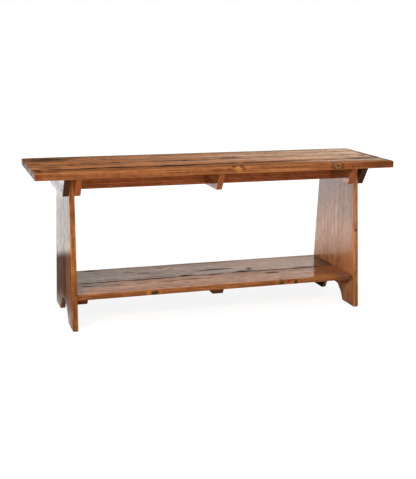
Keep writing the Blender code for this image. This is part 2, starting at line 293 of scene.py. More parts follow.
# Pine and its marks
NOISE_MEAN = 0.5
BEND_REACH = (0, 0.050, 0.050)  # how far the rings wander
RING_DRAW = (0.06, 1, 1)  # rings are drawn out along the grain
BAND_SHARE = 0.6  # of the rich colour, the rest follows the streaks
LATE_SHARE = 0.55  # of the dark colour in late wood
LINE_SHARE = 0.55
GREY_SHARE = 0.85
KNOT_RAGGED = 1.3
KNOT_PUSH = 16.0  # how far a knot pushes the rings aside, in radians of their wave
TORN_WAVES = (16, 150, 150)  # in a mark's ragged edge, for each metre
TORN_DRIFT = (57, 57, 57)  # sets the edges of marks apart
TORN_REACH = 2.4
FIGURE_PITCH = 0.011
FIGURE_LEAN = 0.4
FIGURE_WOBBLE = 0.006
SEAM_WANDER = 0.010
SEAM_LEAST = 0.0006
MARK_INPUTS = [("Vector", "Vector"), ("Centre", "Vector"), ("Stretch", "Vector")]


class Graph:
    """Adds shader nodes to a tree and joins them."""

    def __init__(self, tree):
        self.tree = tree

    def node(self, kind, inputs, **settings):
        """A node with these settings and inputs, sockets or plain values. Returns its outputs."""
        made = self.tree.nodes.new("ShaderNode" + kind)
        for name, value in settings.items():
            setattr(made, name, value)
        for key, value in inputs.items():
            if isinstance(value, bpy.types.NodeSocket):
                self.tree.links.new(value, made.inputs[key])
            else:
                made.inputs[key].default_value = value
        return made.outputs

    def join(self, sockets, ends):
        """Links sockets to the ends of the same names."""
        for title, socket in sockets.items():
            self.tree.links.new(socket, ends[title])

    def math(self, operation, first, second=0.0):
        return self.node("Math", {0: first, 1: second}, operation=operation)[0]

    def plus(self, first, second):
        return self.math("ADD", first, second)

    def minus(self, first, second):
        return self.math("SUBTRACT", first, second)

    def times(self, first, second):
        return self.math("MULTIPLY", first, second)

    def most(self, first, second):
        return self.math("MAXIMUM", first, second)

    def rest(self, value):
        """What is left of 1."""
        return self.minus(1.0, value)

    def ramp(self, value, start, gain):
        """start where the value is 0, and gain more where it is 1."""
        return self.plus(start, self.times(value, gain))

    def vector(self, operation, first, second):
        return self.node("VectorMath", {0: first, 1: second}, operation=operation)[0]

    def length(self, first):
        return self.node("VectorMath", {0: first}, operation="LENGTH")[1]

    def parts(self, vector):
        """The three values of a vector."""
        return self.node("SeparateXYZ", {0: vector})

    def noise(self, vector, scale, detail=2.0, roughness=0.5):
        """Noise as a value and as a colour, with scale waves for each metre."""
        inputs = {"Vector": vector, "Scale": scale, "Detail": detail, "Roughness": roughness}
        return self.node("TexNoise", inputs)

    def grain(self, place, waves, detail=2.0, roughness=0.5):
        """Noise with its own waves for each metre along, across and through the board."""
        return self.noise(self.vector("MULTIPLY", place, waves), 1.0, detail, roughness)

    def rise(self, value, start, end):
        """0 up to start, 1 from end on, and a smooth rise between them."""
        inputs = {"Value": value, "From Min": start, "From Max": end}
        return self.node("MapRange", inputs, interpolation_type="SMOOTHSTEP")[0]

    def fall(self, value, start, end):
        """1 up to start, 0 from end on, and a smooth fall between them."""
        return self.rest(self.rise(value, start, end))

    def blend(self, share, first, second, kind="MIX"):
        """Two colours mixed."""
        return self.node("Mix", {0: share, 6: first, 7: second}, data_type="RGBA", blend_type=kind)[2]


def new_group(name, inputs, outputs):
    """A node group with these (name, socket kind) ends. Returns the group, its graph and both ends."""
    group = bpy.data.node_groups.new(name, "ShaderNodeTree")
    for title, kind in inputs:
        group.interface.new_socket(title, in_out="INPUT", socket_type="NodeSocket" + kind)
    for title, kind in outputs:
        group.interface.new_socket(title, in_out="OUTPUT", socket_type="NodeSocket" + kind)
    start = group.nodes.new("NodeGroupInput").outputs
    end = group.nodes.new("NodeGroupOutput").inputs
    return group, Graph(group), start, end


def make_pine_group():
    """Pine cut from a log: rings round a pith, bands and streaks along the grain, fibres, blotches and grey.

    Vector is the board's own space in metres: x along the grain, y across and z through the board.
    """
    inputs = [
        ("Vector", "Vector"), ("Drift", "Vector"), ("Pith", "Vector"), ("Ring Scale", "Float"),
        ("Phase", "Float"), ("Pale", "Color"), ("Rich", "Color"), ("Dark", "Color"), ("Grey", "Color"),
        ("Weather", "Float"),
    ]
    outputs = [("Color", "Color"), ("Roughness", "Float"), ("Coat", "Float"), ("Height", "Float")]
    group, g, start, end = new_group("pine", inputs, outputs)
    place = g.vector("ADD", start["Vector"], start["Drift"])
    bend = g.vector("SUBTRACT", g.grain(place, waves=(1.6, 4.0, 4.0))[1], [NOISE_MEAN] * 3)
    bend = g.vector("MULTIPLY", bend, BEND_REACH)
    log = g.vector("SUBTRACT", g.vector("ADD", start["Vector"], bend), start["Pith"])
    wave = {
        "Vector": g.vector("MULTIPLY", log, RING_DRAW), "Scale": start["Ring Scale"],
        "Distortion": 1.4, "Detail": 2.0, "Detail Scale": 0.35, "Phase Offset": start["Phase"],
    }
    rings = g.node("TexWave", wave, wave_type="RINGS", rings_direction="X", wave_profile="SAW")[1]
    late = g.times(g.rise(rings, 0.25, 0.86), g.fall(rings, 0.9, 1.0))
    band = g.rise(g.grain(place, waves=(1.0, 17, 17), detail=3.0)[0], 0.36, 0.62)
    streak = g.rise(g.grain(place, waves=(1.8, 50, 50), detail=4.0, roughness=0.6)[0], 0.36, 0.64)
    line = g.rise(g.grain(place, waves=(3.4, 190, 190), detail=3.0, roughness=0.6)[0], 0.42, 0.60)
    fibre = g.grain(place, waves=(22, 700, 700), roughness=0.6)[0]
    blotch = g.rise(g.grain(place, waves=(45, 70, 70), detail=5.0, roughness=0.7)[0], 0.34, 0.66)
    grey = g.grain(place, waves=(3.2, 34, 34), detail=5.0, roughness=0.62)[0]
    grey = g.rise(g.plus(grey, g.minus(start["Weather"], NOISE_MEAN)), 0.50, 0.64)
    share = g.plus(g.times(band, BAND_SHARE), g.times(streak, 1 - BAND_SHARE))
    colour = g.blend(share, start["Pale"], start["Rich"])
    colour = g.blend(g.times(late, LATE_SHARE), colour, start["Dark"])
    colour = g.blend(g.times(line, LINE_SHARE), colour, start["Dark"])
    colour = g.blend(1.0, colour, g.ramp(blotch, start=0.80, gain=0.40), "MULTIPLY")
    colour = g.blend(g.times(grey, GREY_SHARE), colour, start["Grey"])
    rough = g.ramp(streak, start=0.15, gain=0.04)
    rough = g.ramp(grey, start=rough, gain=0.20)
    coat = g.ramp(line, start=1.0, gain=-0.26)
    coat = g.ramp(streak, start=coat, gain=-0.16)
    coat = g.times(coat, g.ramp(blotch, start=0.78, gain=0.38))
    coat = g.times(coat, g.ramp(grey, start=1.0, gain=-0.75))
    height = g.ramp(fibre, start=g.times(late, 0.4), gain=0.15)
    height = g.ramp(line, start=height, gain=-0.4)
    height = g.ramp(grey, start=height, gain=-0.8)
    g.join({"Color": colour, "Roughness": rough, "Coat": coat, "Height": height}, end)
    return group


def from_centre(g, start):
    """The way from a mark's centre, as shares of its size."""
    return g.vector("MULTIPLY", g.vector("SUBTRACT", start["Vector"], start["Centre"]), start["Stretch"])


def make_knot_group():
    """A knot: its core, the dark bark round it, the pale specks in it, and how it pushes the rings aside."""
    titles = ("Phase", "Core", "Bark", "Speck", "Halo")
    group, g, start, end = new_group("knot", MARK_INPUTS, [(title, "Float") for title in titles])
    place = start["Vector"]
    uneven = g.minus(g.noise(place, scale=150.0, detail=4.0, roughness=0.65)[0], NOISE_MEAN)
    far = g.ramp(uneven, start=g.length(from_centre(g, start)), gain=KNOT_RAGGED)
    core = g.fall(far, 0.70, 1.05)
    bark = g.times(g.rise(far, 0.45, 0.80), g.fall(far, 1.0, 1.5))
    flecks = g.rise(g.noise(place, scale=260.0, detail=3.0)[0], 0.40, 0.60)
    bark = g.times(bark, g.ramp(flecks, start=0.3, gain=0.7))
    halo = g.fall(far, 0.9, 3.2)
    speck = g.rise(g.noise(place, scale=330.0)[0], 0.42, 0.58)
    speck = g.times(speck, g.rise(far, 0.15, 0.50))
    phase = g.times(g.times(halo, halo), KNOT_PUSH)
    g.join(dict(zip(titles, (phase, core, bark, speck, halo))), end)
    return group


def make_patch_group():
    """A stain with a ragged, grain-wise edge round a centre."""
    group, g, start, end = new_group("patch", MARK_INPUTS, [("Share", "Float")])
    drift = g.vector("MULTIPLY", start["Centre"], TORN_DRIFT)
    place = g.vector("ADD", g.vector("MULTIPLY", start["Vector"], TORN_WAVES), drift)
    torn = g.minus(g.noise(place, 1.0, detail=4.0, roughness=0.65)[0], NOISE_MEAN)
    far = g.ramp(torn, start=g.length(from_centre(g, start)), gain=TORN_REACH)
    g.join({"Share": g.fall(far, 0.45, 1.15)}, end)
    return group


def make_figure_group(patch):
    """Stripes across the grain beside a knot, inside a ragged patch."""
    group, g, start, end = new_group("figure", MARK_INPUTS, [("Share", "Float")])
    field = g.node("Group", {title: start[title] for title, kind in MARK_INPUTS}, node_tree=patch)["Share"]
    place = start["Vector"]
    parts = g.parts(place)
    lean = g.ramp(parts[Z], start=parts[X], gain=FIGURE_LEAN)
    wobble = g.times(g.noise(place, scale=90.0)[0], FIGURE_WOBBLE)
    turn = g.times(g.plus(lean, wobble), 2 * math.pi / FIGURE_PITCH)
    stripes = g.rise(g.math("SINE", turn), -0.3, 0.6)
    stripes = g.times(stripes, g.rise(g.noise(place, scale=170.0, detail=3.0)[0], 0.35, 0.60))
    g.join({"Share": g.times(field, stripes)}, end)
    return group


def make_seam_group():
    """Dirt along a joint between boards, in places wide and in places gone."""
    inputs = [("Vector", "Vector"), ("Line", "Float"), ("Reach", "Float")]
    group, g, start, end = new_group("seam", inputs, [("Share", "Float")])
    parts = g.parts(start["Vector"])
    run = g.node("CombineXYZ", {X: parts[X], Y: start["Line"]})[0]
    wide = g.rise(g.grain(run, waves=(7, 1, 1), detail=5.0, roughness=0.65)[0], 0.30, 0.66)
    wander = g.minus(g.grain(run, waves=(5, 1, 1), detail=3.0)[0], NOISE_MEAN)
    off = g.ramp(wander, start=g.minus(parts[Y], start["Line"]), gain=SEAM_WANDER)
    reach = g.plus(SEAM_LEAST, g.times(start["Reach"], wide))
    off = g.math("DIVIDE", g.math("ABSOLUTE", off), reach)
    g.join({"Share": g.fall(off, 0.35, 1.0)}, end)
    return group


PINE = make_pine_group()
KNOT = make_knot_group()
PATCH = make_patch_group()
FIGURE = make_figure_group(PATCH)
SEAM = make_seam_group()

# Finishes, as linear colours: pale and rich wood, late wood, weathered grey
ORANGE_PINE = (
    (0.46, 0.158, 0.034, 1), (0.3, 0.088, 0.016, 1), (0.1, 0.026, 0.006, 1), (0.04, 0.02, 0.012, 1)
)
HONEY_PINE = (
    (0.51, 0.188, 0.062, 1), (0.33, 0.106, 0.033, 1), (0.11, 0.033, 0.013, 1), (0.04, 0.022, 0.015, 1)
)
BROWN_PINE = (
    (0.27, 0.112, 0.042, 1), (0.14, 0.05, 0.018, 1), (0.05, 0.018, 0.008, 1), (0.03, 0.018, 0.012, 1)
)
SEAT_PINE = (
    (0.6, 0.208, 0.056, 1), (0.4, 0.127, 0.032, 1), (0.13, 0.037, 0.011, 1), (0.03, 0.017, 0.011, 1)
)
TAN_PINE = (
    (0.58, 0.215, 0.066, 1), (0.43, 0.142, 0.04, 1), (0.18, 0.054, 0.017, 1), (0.05, 0.03, 0.021, 1)
)
GREY_PINE = (
    (0.36, 0.145, 0.07, 1), (0.22, 0.082, 0.039, 1), (0.08, 0.032, 0.017, 1), (0.035, 0.023, 0.02, 1)
)
RED_PINE = (
    (0.51, 0.152, 0.046, 1), (0.36, 0.099, 0.029, 1), (0.15, 0.039, 0.014, 1), (0.05, 0.024, 0.015, 1)
)
DARK_PINE = (
    (0.11, 0.042, 0.022, 1), (0.07, 0.028, 0.015, 1), (0.03, 0.012, 0.007, 1), (0.02, 0.012, 0.009, 1)
)
PALE_PINE = (
    (0.51, 0.192, 0.061, 1), (0.41, 0.143, 0.042, 1), (0.31, 0.104, 0.033, 1), (0.14, 0.065, 0.035, 1)
)
BEECH = (
    (0.62, 0.42, 0.24, 1), (0.54, 0.34, 0.18, 1), (0.4, 0.23, 0.11, 1), (0.35, 0.22, 0.12, 1)
)
RED_END = (0.28, 0.074, 0.022, 1)
BATTEN_END = (0.11, 0.03, 0.015, 1)
OUTER_END = (0.058, 0.02, 0.012, 1)
GRIME = (0.016, 0.01, 0.007, 1)
KNOT_HEART = (0.11, 0.032, 0.013, 1)
KNOT_PALE = (0.54, 0.24, 0.095, 1)
KNOT_BARK = (0.028, 0.014, 0.009, 1)
KNOT_GLOW = (0.42, 0.135, 0.022, 1)
DARK_STEEL = (0.02, 0.013, 0.01, 1)
DULL_STEEL = (0.07, 0.05, 0.038, 1)
RUBBED_AND_HIGHLIGHT = (0.53, 0.2, 0.062, 1)  # arrises where the stain has worn thin, and a painted highlight along them
END_GLOSS = 0.165  # of the lacquer on sawn ends
RING_TURN = 2 * math.pi / 20  # a ring's width in a wave texture of scale 1
END_SHARE = 0.8  # how much of a sawn end's colour shows
DIRT_SHARE = 0.92
HALO_SHARE = 0.30
BARK_SHARE = 0.95
END_ROUGHNESS = 0.30  # added on sawn ends
DIRT_ROUGHNESS = 0.25
DIRT_DULLNESS = 0.9  # how much of the lacquer's gloss dirt takes away
GRAIN_BUMP = 0.12
GRAIN_DEPTH = 0.0006
SEED_DRIFT = (3.7, 1.9, 2.3)  # metres from one board's wood to the next one's


@dataclass
class Look:
    """What one board shows. Marks are placed in the bench's own metres."""

    tone: tuple
    seed: float
    pith: tuple = (0.012, -0.07)  # across and through the board, from its middle
    ring: float = 0.0042
    weather: float = 0.36
    gloss: float = 0.5
    blur: float = 0.12  # the lacquer's roughness
    even: float = 0.0  # how little the lacquer follows the grain
    end: tuple = (0.040, 0.022, 0.013, 1)  # sawn ends
    knots: tuple = ()  # (place, size along, across and through the board, darkness)
    patches: tuple = ()  # (place, size, colour, share)
    figures: tuple = ()  # the same, striped across the grain
    seams: tuple = ()  # (place across the board, reach)
    polish: tuple = ()  # (place, size, how much glossier)


class BoardShader:
    """The lacquered pine of one board."""

    def __init__(self, node, grain, look):
        self.material = bpy.data.materials.new(node + "_pine")
        self.material.use_nodes = True
        self.g = Graph(self.material.node_tree)
        self.grain = grain
        low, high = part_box(node)
        self.middle = [(a + b) / 2 for a, b in zip(low, high)]
        coordinates = self.g.node("TexCoord", {})
        self.place = self.board_space(self.g.vector("SUBTRACT", coordinates["Object"], self.middle))
        self.facing = self.board_space(coordinates["Normal"])
        self.build(look)

    def board_space(self, vector):
        """A vector turned to lie along, across and through the board."""
        parts = self.g.parts(vector)
        return self.g.node("CombineXYZ", {i: parts[axis] for i, axis in enumerate(self.grain)})[0]

    def group(self, tree, inputs):
        return self.g.node("Group", {"Vector": self.place, **inputs}, node_tree=tree)

    def mark(self, tree, place, size):
        centre = [place[axis] - self.middle[axis] for axis in self.grain]
        return self.group(tree, {"Centre": centre, "Stretch": [1 / length for length in size]})

    def wood(self, look, knots):
        """The board's pine, its rings pushed aside by the knots."""
        phase = 0.0
        for knot in knots:
            phase = self.g.plus(phase, knot["Phase"])
        pale, rich, dark, grey = look.tone
        inputs = {
            "Drift": [look.seed * drift for drift in SEED_DRIFT], "Pith": (0, *look.pith), "Phase": phase,
            "Ring Scale": RING_TURN / look.ring, "Weather": look.weather,
            "Pale": pale, "Rich": rich, "Dark": dark, "Grey": grey,
        }
        return self.group(PINE, inputs)

    def stained(self, look, colour):
        """The colour with the board's stains, painted shade and light, and dirty joints, and where these
        dull the lacquer.
        """
        g = self.g
        dull = 0.0
        marks = [(PATCH, mark) for mark in look.patches] + [(FIGURE, mark) for mark in look.figures]
        for tree, (place, size, stain, share) in marks:
            spot = g.times(self.mark(tree, place, size)["Share"], share)
            colour = g.blend(spot, colour, stain)
            if stain in (SOOT_AND_SHADE, UMBER):
                dull = g.most(dull, spot)
        for line, reach in look.seams:
            across = line - self.middle[self.grain[1]]
            dirt = self.group(SEAM, {"Line": across, "Reach": reach})["Share"]
            colour = g.blend(g.times(dirt, DIRT_SHARE), colour, GRIME)
            dull = g.most(dull, dirt)
        return colour, dull

    def knotted(self, look, knots, colour):
        """The colour with the board's knots."""
        g = self.g
        for knot, (place, size, black) in zip(knots, look.knots):
            colour = g.blend(g.times(knot["Halo"], HALO_SHARE), colour, KNOT_GLOW)
            heart = g.blend(knot["Speck"], KNOT_HEART, KNOT_PALE)
            heart = g.blend(black, heart, KNOT_BARK)
            colour = g.blend(knot["Core"], colour, heart)
            colour = g.blend(g.times(knot["Bark"], BARK_SHARE), colour, KNOT_BARK)
        return colour

    def rubbed_and_highlit(self, sawn, dull):
        """How far the stain has worn off the arrises, and the painted highlight along them."""
        g = self.g
        arris = g.node("Attribute", {}, attribute_name="arris")["Fac"]
        patchy = g.rise(g.noise(self.place, scale=14.0, detail=3.0)[0], 0.35, 0.65)
        worn = g.times(arris, g.ramp(patchy, start=0.25, gain=0.50))
        return g.times(g.times(worn, g.rest(sawn)), g.rest(dull))

    def lacquer(self, look, wood, sawn, dull):
        """How much the lacquer glosses."""
        g = self.g
        gloss = look.gloss
        for place, size, more in look.polish:
            gloss = g.ramp(self.mark(PATCH, place, size)["Share"], start=gloss, gain=more)
        coat = g.ramp(sawn, start=g.times(gloss, g.rest(sawn)), gain=END_GLOSS)
        coat = g.times(g.ramp(wood["Coat"], start=look.even, gain=1 - look.even), coat)
        return g.times(coat, g.rest(g.times(dull, DIRT_DULLNESS)))

    def build(self, look):
        g = self.g
        knots = [self.mark(KNOT, place, size) for place, size, black in look.knots]
        wood = self.wood(look, knots)
        colour, dull = self.stained(look, wood["Color"])
        colour = self.knotted(look, knots, colour)
        sawn = g.rise(g.math("ABSOLUTE", g.parts(self.facing)[0]), 0.60, 0.90)
        colour = g.blend(g.times(sawn, END_SHARE), colour, look.end)
        colour = g.blend(self.rubbed_and_highlit(sawn, dull), colour, RUBBED_AND_HIGHLIGHT)
        rough = g.ramp(sawn, start=wood["Roughness"], gain=END_ROUGHNESS)
        rough = g.ramp(dull, start=rough, gain=DIRT_ROUGHNESS)
        coat = self.lacquer(look, wood, sawn, dull)
        bump = {"Height": wood["Height"], "Strength": GRAIN_BUMP, "Distance": GRAIN_DEPTH}
        shader = g.tree.nodes["Principled BSDF"].inputs
        sockets = {"Base Color": colour, "Roughness": rough, "Coat Weight": coat}
        g.join({**sockets, "Normal": g.node("Bump", bump)[0]}, shader)
        shader["Coat Roughness"].default_value = look.blur
        shader["Specular IOR Level"].default_value = 0.0


def steel_material():
    """Dark, tarnished steel for the screws."""
    material = bpy.data.materials.new("screw_steel")
    material.use_nodes = True
    g = Graph(material.node_tree)
    shader = material.node_tree.nodes["Principled BSDF"].inputs
    tarnish = g.noise(g.node("TexCoord", {})["Object"], scale=900.0, detail=3.0)[0]
    colour = g.blend(tarnish, DARK_STEEL, DULL_STEEL)
    g.join({"Base Color": colour, "Roughness": g.ramp(tarnish, start=0.3, gain=0.25)}, shader)
    shader["Metallic"].default_value = 1.0
    return material


def paint(obj, material):
    """Gives every slot of an object one material."""
    if not obj.material_slots:
        obj.data.materials.append(material)
    for slot in obj.material_slots:
        slot.material = material


# Marks that the photograph shows
SEAT_FRONT = -0.179
SEAT_TOP = 0.508
SEAT_EDGE = 0.4985  # height of most marks on the seat's front edge
SEAT_END = 0.606
SHELF_FRONT = -0.147
SHELF_TOP = 0.109
SHELF_EDGE = 0.0985  # height of most marks on the shelf's front edge
PANEL_FACE = 0.479  # inner face of the right end panel, where the shelf ends
PANEL_MIDDLE = 0.488
PANEL_BACK = 0.497  # its outer face
PANEL_PITH = (0.1, 0.16)
RAIL_PITH = (0.05, 0.03)
LEFT_PANEL = {"pith": PANEL_PITH, "weather": 0.42}
RIGHT_PANEL = {"pith": PANEL_PITH, "weather": 0.22, "gloss": 0.75, "blur": 0.22, "even": 0.42}
SEAT_JOINTS = (-0.093, -0.0087, 0.0946)
SHELF_JOINT = -0.011
GOUGE_REACH = 0.6  # of a gouge's length, to each side of its middle
GOUGE_DEPTH = 0.02
WHOLE_BOARD = 3.0  # reaches past both ends of any board
# soot-dark wood, and also painted shade
SOOT_AND_SHADE = (0.022, 0.015, 0.012, 1)
# ash-grey wood, and also painted shade
ASH_AND_SHADE = (0.062, 0.042, 0.037, 1)
# painted shade, a greyish brown
PAINTED_SHADE = (0.15, 0.085, 0.052, 1)
UMBER = (0.11, 0.034, 0.011, 1)
RUST = (0.24, 0.05, 0.014, 1)
AMBER = (0.56, 0.235, 0.04, 1)
TAWNY = (0.42, 0.19, 0.085, 1)
CHESTNUT = (0.24, 0.075, 0.03, 1)
OXBLOOD = (0.15, 0.02, 0.01, 1)
# bleached wood, and also painted light
BLEACHED_AND_LIT = (0.62, 0.25, 0.09, 1)


def marks_on(top):
    """Gives what makes marks along the grain of a level board with this top."""

    def mark(start, end, y, wide, stain=SOOT_AND_SHADE, share=0.9):
        """A gouge or a paler run from one x to another."""
        return ((start + end) / 2, y, top), ((end - start) * GOUGE_REACH, wide, GOUGE_DEPTH), stain, share

    return mark


on_seat = marks_on(SEAT_TOP)
on_shelf = marks_on(SHELF_TOP)


def edge_stain(y, z, depth, share):
    """Darker wood along the whole front edge of a level board."""
    return (0, y, z), (WHOLE_BOARD, depth, 0.03), UMBER, share


def dirty_foot(x, y, reach, share):
    """Darker wood where an end panel's board stands on the floor."""
    return (x, y, 0), (reach, 0.06, 0.05), UMBER, share


def painted_shade_under_seat(x, y, share):
    """Painted shade under the seat: greyer, darker wood at the top of one face of an end panel's board."""
    return (x, y, 0.48), (0.27, 0.25, 0.005), ASH_AND_SHADE, share


def dark_end(y, reach=0.014):
    """Dirt on the arris of the seat's right end."""
    return (SEAT_END, y, SEAT_TOP), (reach, 0.09, 0.012), SOOT_AND_SHADE, 0.9


LOOKS = {}
LOOKS["seat_board_front"] = Look(
    HONEY_PINE, 1, (0.02, -0.05), weather=0.41, gloss=0.1,
    knots=(
        ((0.397, SEAT_FRONT, SEAT_EDGE), (0.02, 0.03, 0.014), 0.1),
        ((-0.593, -0.108, SEAT_TOP), (0.011, 0.016, 0.02), 0.9),
        ((-0.588, -0.14, SEAT_TOP), (0.012, 0.014, 0.02), 0.9),
    ),
    patches=(
        edge_stain(SEAT_FRONT, SEAT_EDGE, 0.008, 0.2),
        ((0, -0.13, SEAT_TOP), (WHOLE_BOARD, 0.05, 0.005), UMBER, 0.38),
        ((0.046, SEAT_FRONT, 0.499), (0.016, 0.012, 0.012), AMBER, 0.45),
        ((0.064, SEAT_FRONT, 0.5), (0.009, 0.012, 0.007), RUST, 0.8),
        ((0.065, SEAT_FRONT, 0.5), (0.005, 0.012, 0.004), UMBER, 0.8),
        ((0.03, -0.174, 0.507), (0.01, 0.012, 0.005), SOOT_AND_SHADE, 0.95),
        ((0.058, -0.174, 0.507), (0.01, 0.012, 0.005), SOOT_AND_SHADE, 0.85),
        ((0.016, SEAT_FRONT, 0.499), (0.014, 0.012, 0.007), UMBER, 0.5),
        ((-0.025, SEAT_FRONT, 0.499), (0.03, 0.012, 0.005), UMBER, 0.6),
        ((-0.596, SEAT_FRONT, 0.497), (0.012, 0.012, 0.009), OXBLOOD, 0.65),
        ((0.415, SEAT_FRONT, SEAT_EDGE), (0.08, 0.016, 0.02), CHESTNUT, 0.75),
        ((0.45, SEAT_FRONT, SEAT_EDGE), (0.05, 0.016, 0.02), CHESTNUT, 0.7),
        ((0.21, SEAT_FRONT, 0.489), (0.14, 0.012, 0.007), BLEACHED_AND_LIT, 0.3),
        ((0.21, SEAT_FRONT, 0.505), (0.14, 0.012, 0.006), UMBER, 0.25),
        ((0.56, SEAT_FRONT, SEAT_EDGE), (0.095, 0.02, 0.014), UMBER, 0.75),
        dark_end(-0.14),
        on_seat(-0.6, -0.52, -0.15, 0.02, UMBER, 0.7),
        on_seat(-0.38, -0.31, -0.163, 0.012, UMBER, 0.6),
        on_seat(-0.5, -0.4, -0.112, 0.014),
        on_seat(-0.37, -0.26, -0.109, 0.013, SOOT_AND_SHADE, 0.8),
        on_seat(-0.24, -0.06, -0.113, 0.019),
        on_seat(-0.05, 0.08, -0.099, 0.015),
        on_seat(0.09, 0.19, -0.102, 0.014),
        on_seat(0.18, 0.31, -0.096, 0.011, SOOT_AND_SHADE, 0.8),
        on_seat(0.4, 0.48, -0.098, 0.005, SOOT_AND_SHADE, 0.4),
    ),
    figures=(((0.44, SEAT_FRONT, SEAT_EDGE), (0.04, 0.016, 0.02), OXBLOOD, 0.9),),
    seams=((SEAT_JOINTS[0] - 0.008, 0.01),),
    polish=(((0.49, -0.112, SEAT_TOP), (0.22, 0.042, 0.005), 0.34),),
)
LOOKS["seat_board_front_middle"] = Look(
    SEAT_PINE, 2, (0.004, -0.06), weather=0.44, gloss=0.38,
    patches=(
        dark_end(-0.05, 0.024),
        on_seat(-0.36, -0.14, -0.016, 0.012, UMBER, 0.35),
        on_seat(-0.16, 0.02, -0.018, 0.012, UMBER, 0.4),
        on_seat(-0.58, -0.51, -0.066, 0.016, UMBER, 0.8),
        on_seat(-0.48, -0.45, -0.027, 0.01),
        on_seat(-0.45, -0.42, -0.03, 0.011, UMBER, 0.6),
        on_seat(-0.41, -0.38, -0.027, 0.01),
        on_seat(0.47, 0.56, -0.082, 0.007, UMBER, 0.4),
        on_seat(0.0, 0.46, -0.086, 0.008, UMBER, 0.5),
        on_seat(-0.28, 0.48, -0.04, 0.012, UMBER, 0.25),
        on_seat(0.55, 0.58, -0.028, 0.01),
    ),
    seams=((SEAT_JOINTS[0] - 0.002, 0.01), (SEAT_JOINTS[1], 0.01)),
)
LOOKS["seat_board_rear_middle"] = Look(
    SEAT_PINE, 3, (-0.02, -0.07), weather=0.44, gloss=0.42,
    patches=(
        on_seat(-0.61, -0.53, 0.088, 0.024),
        on_seat(-0.54, -0.46, 0.086, 0.016, SOOT_AND_SHADE, 0.7),
        on_seat(-0.61, -0.56, 0.025, 0.014, UMBER, 0.8),
        dark_end(0.04, 0.024),
        on_seat(-0.34, -0.3, 0.0, 0.011),
        on_seat(-0.32, -0.16, 0.004, 0.015, UMBER, 0.35),
        on_seat(-0.17, 0.0, 0.004, 0.012, UMBER, 0.6),
        on_seat(-0.09, -0.07, -0.003, 0.01),
        on_seat(0.04, 0.13, 0.02, 0.017, SOOT_AND_SHADE, 0.8),
        on_seat(-0.62, 0.3, 0.06, 0.018, UMBER, 0.4),
        on_seat(0.2, 0.5, 0.066, 0.02, UMBER, 0.3),
        on_seat(0.48, 0.54, -0.004, 0.011),
    ),
    seams=((SEAT_JOINTS[1], 0.008), (SEAT_JOINTS[2] - 0.008, 0.006)),
    polish=(((0.17, 0.09, SEAT_TOP), (0.1, 0.02, 0.005), 0.2),),
)
LOOKS["seat_board_rear"] = Look(
    SEAT_PINE, 4, (-0.01, -0.06), weather=0.44, gloss=0.46,
    patches=(
        on_seat(-0.62, -0.44, 0.118, 0.03),
        on_seat(-0.62, -0.38, 0.163, 0.02, SOOT_AND_SHADE, 0.8),
        on_seat(-0.5, -0.25, 0.17, 0.014, SOOT_AND_SHADE, 0.8),
        on_seat(-0.45, 0.62, 0.165, 0.03, UMBER, 0.6),
        on_seat(-0.28, 0.4, 0.17, 0.012, SOOT_AND_SHADE, 0.7),
        on_seat(0.4, 0.6, 0.17, 0.012, SOOT_AND_SHADE, 0.7),
        on_seat(-0.17, -0.05, 0.125, 0.018, UMBER, 0.6),
        on_seat(-0.5, 0.6, 0.138, 0.018, UMBER, 0.4),
        on_seat(-0.25, 0.34, 0.11, 0.014, BLEACHED_AND_LIT, 0.35),
        dark_end(0.14),
    ),
    seams=((SEAT_JOINTS[2], 0.002),),
    polish=(((0.17, 0.106, SEAT_TOP), (0.1, 0.018, 0.005), 0.2),),
)
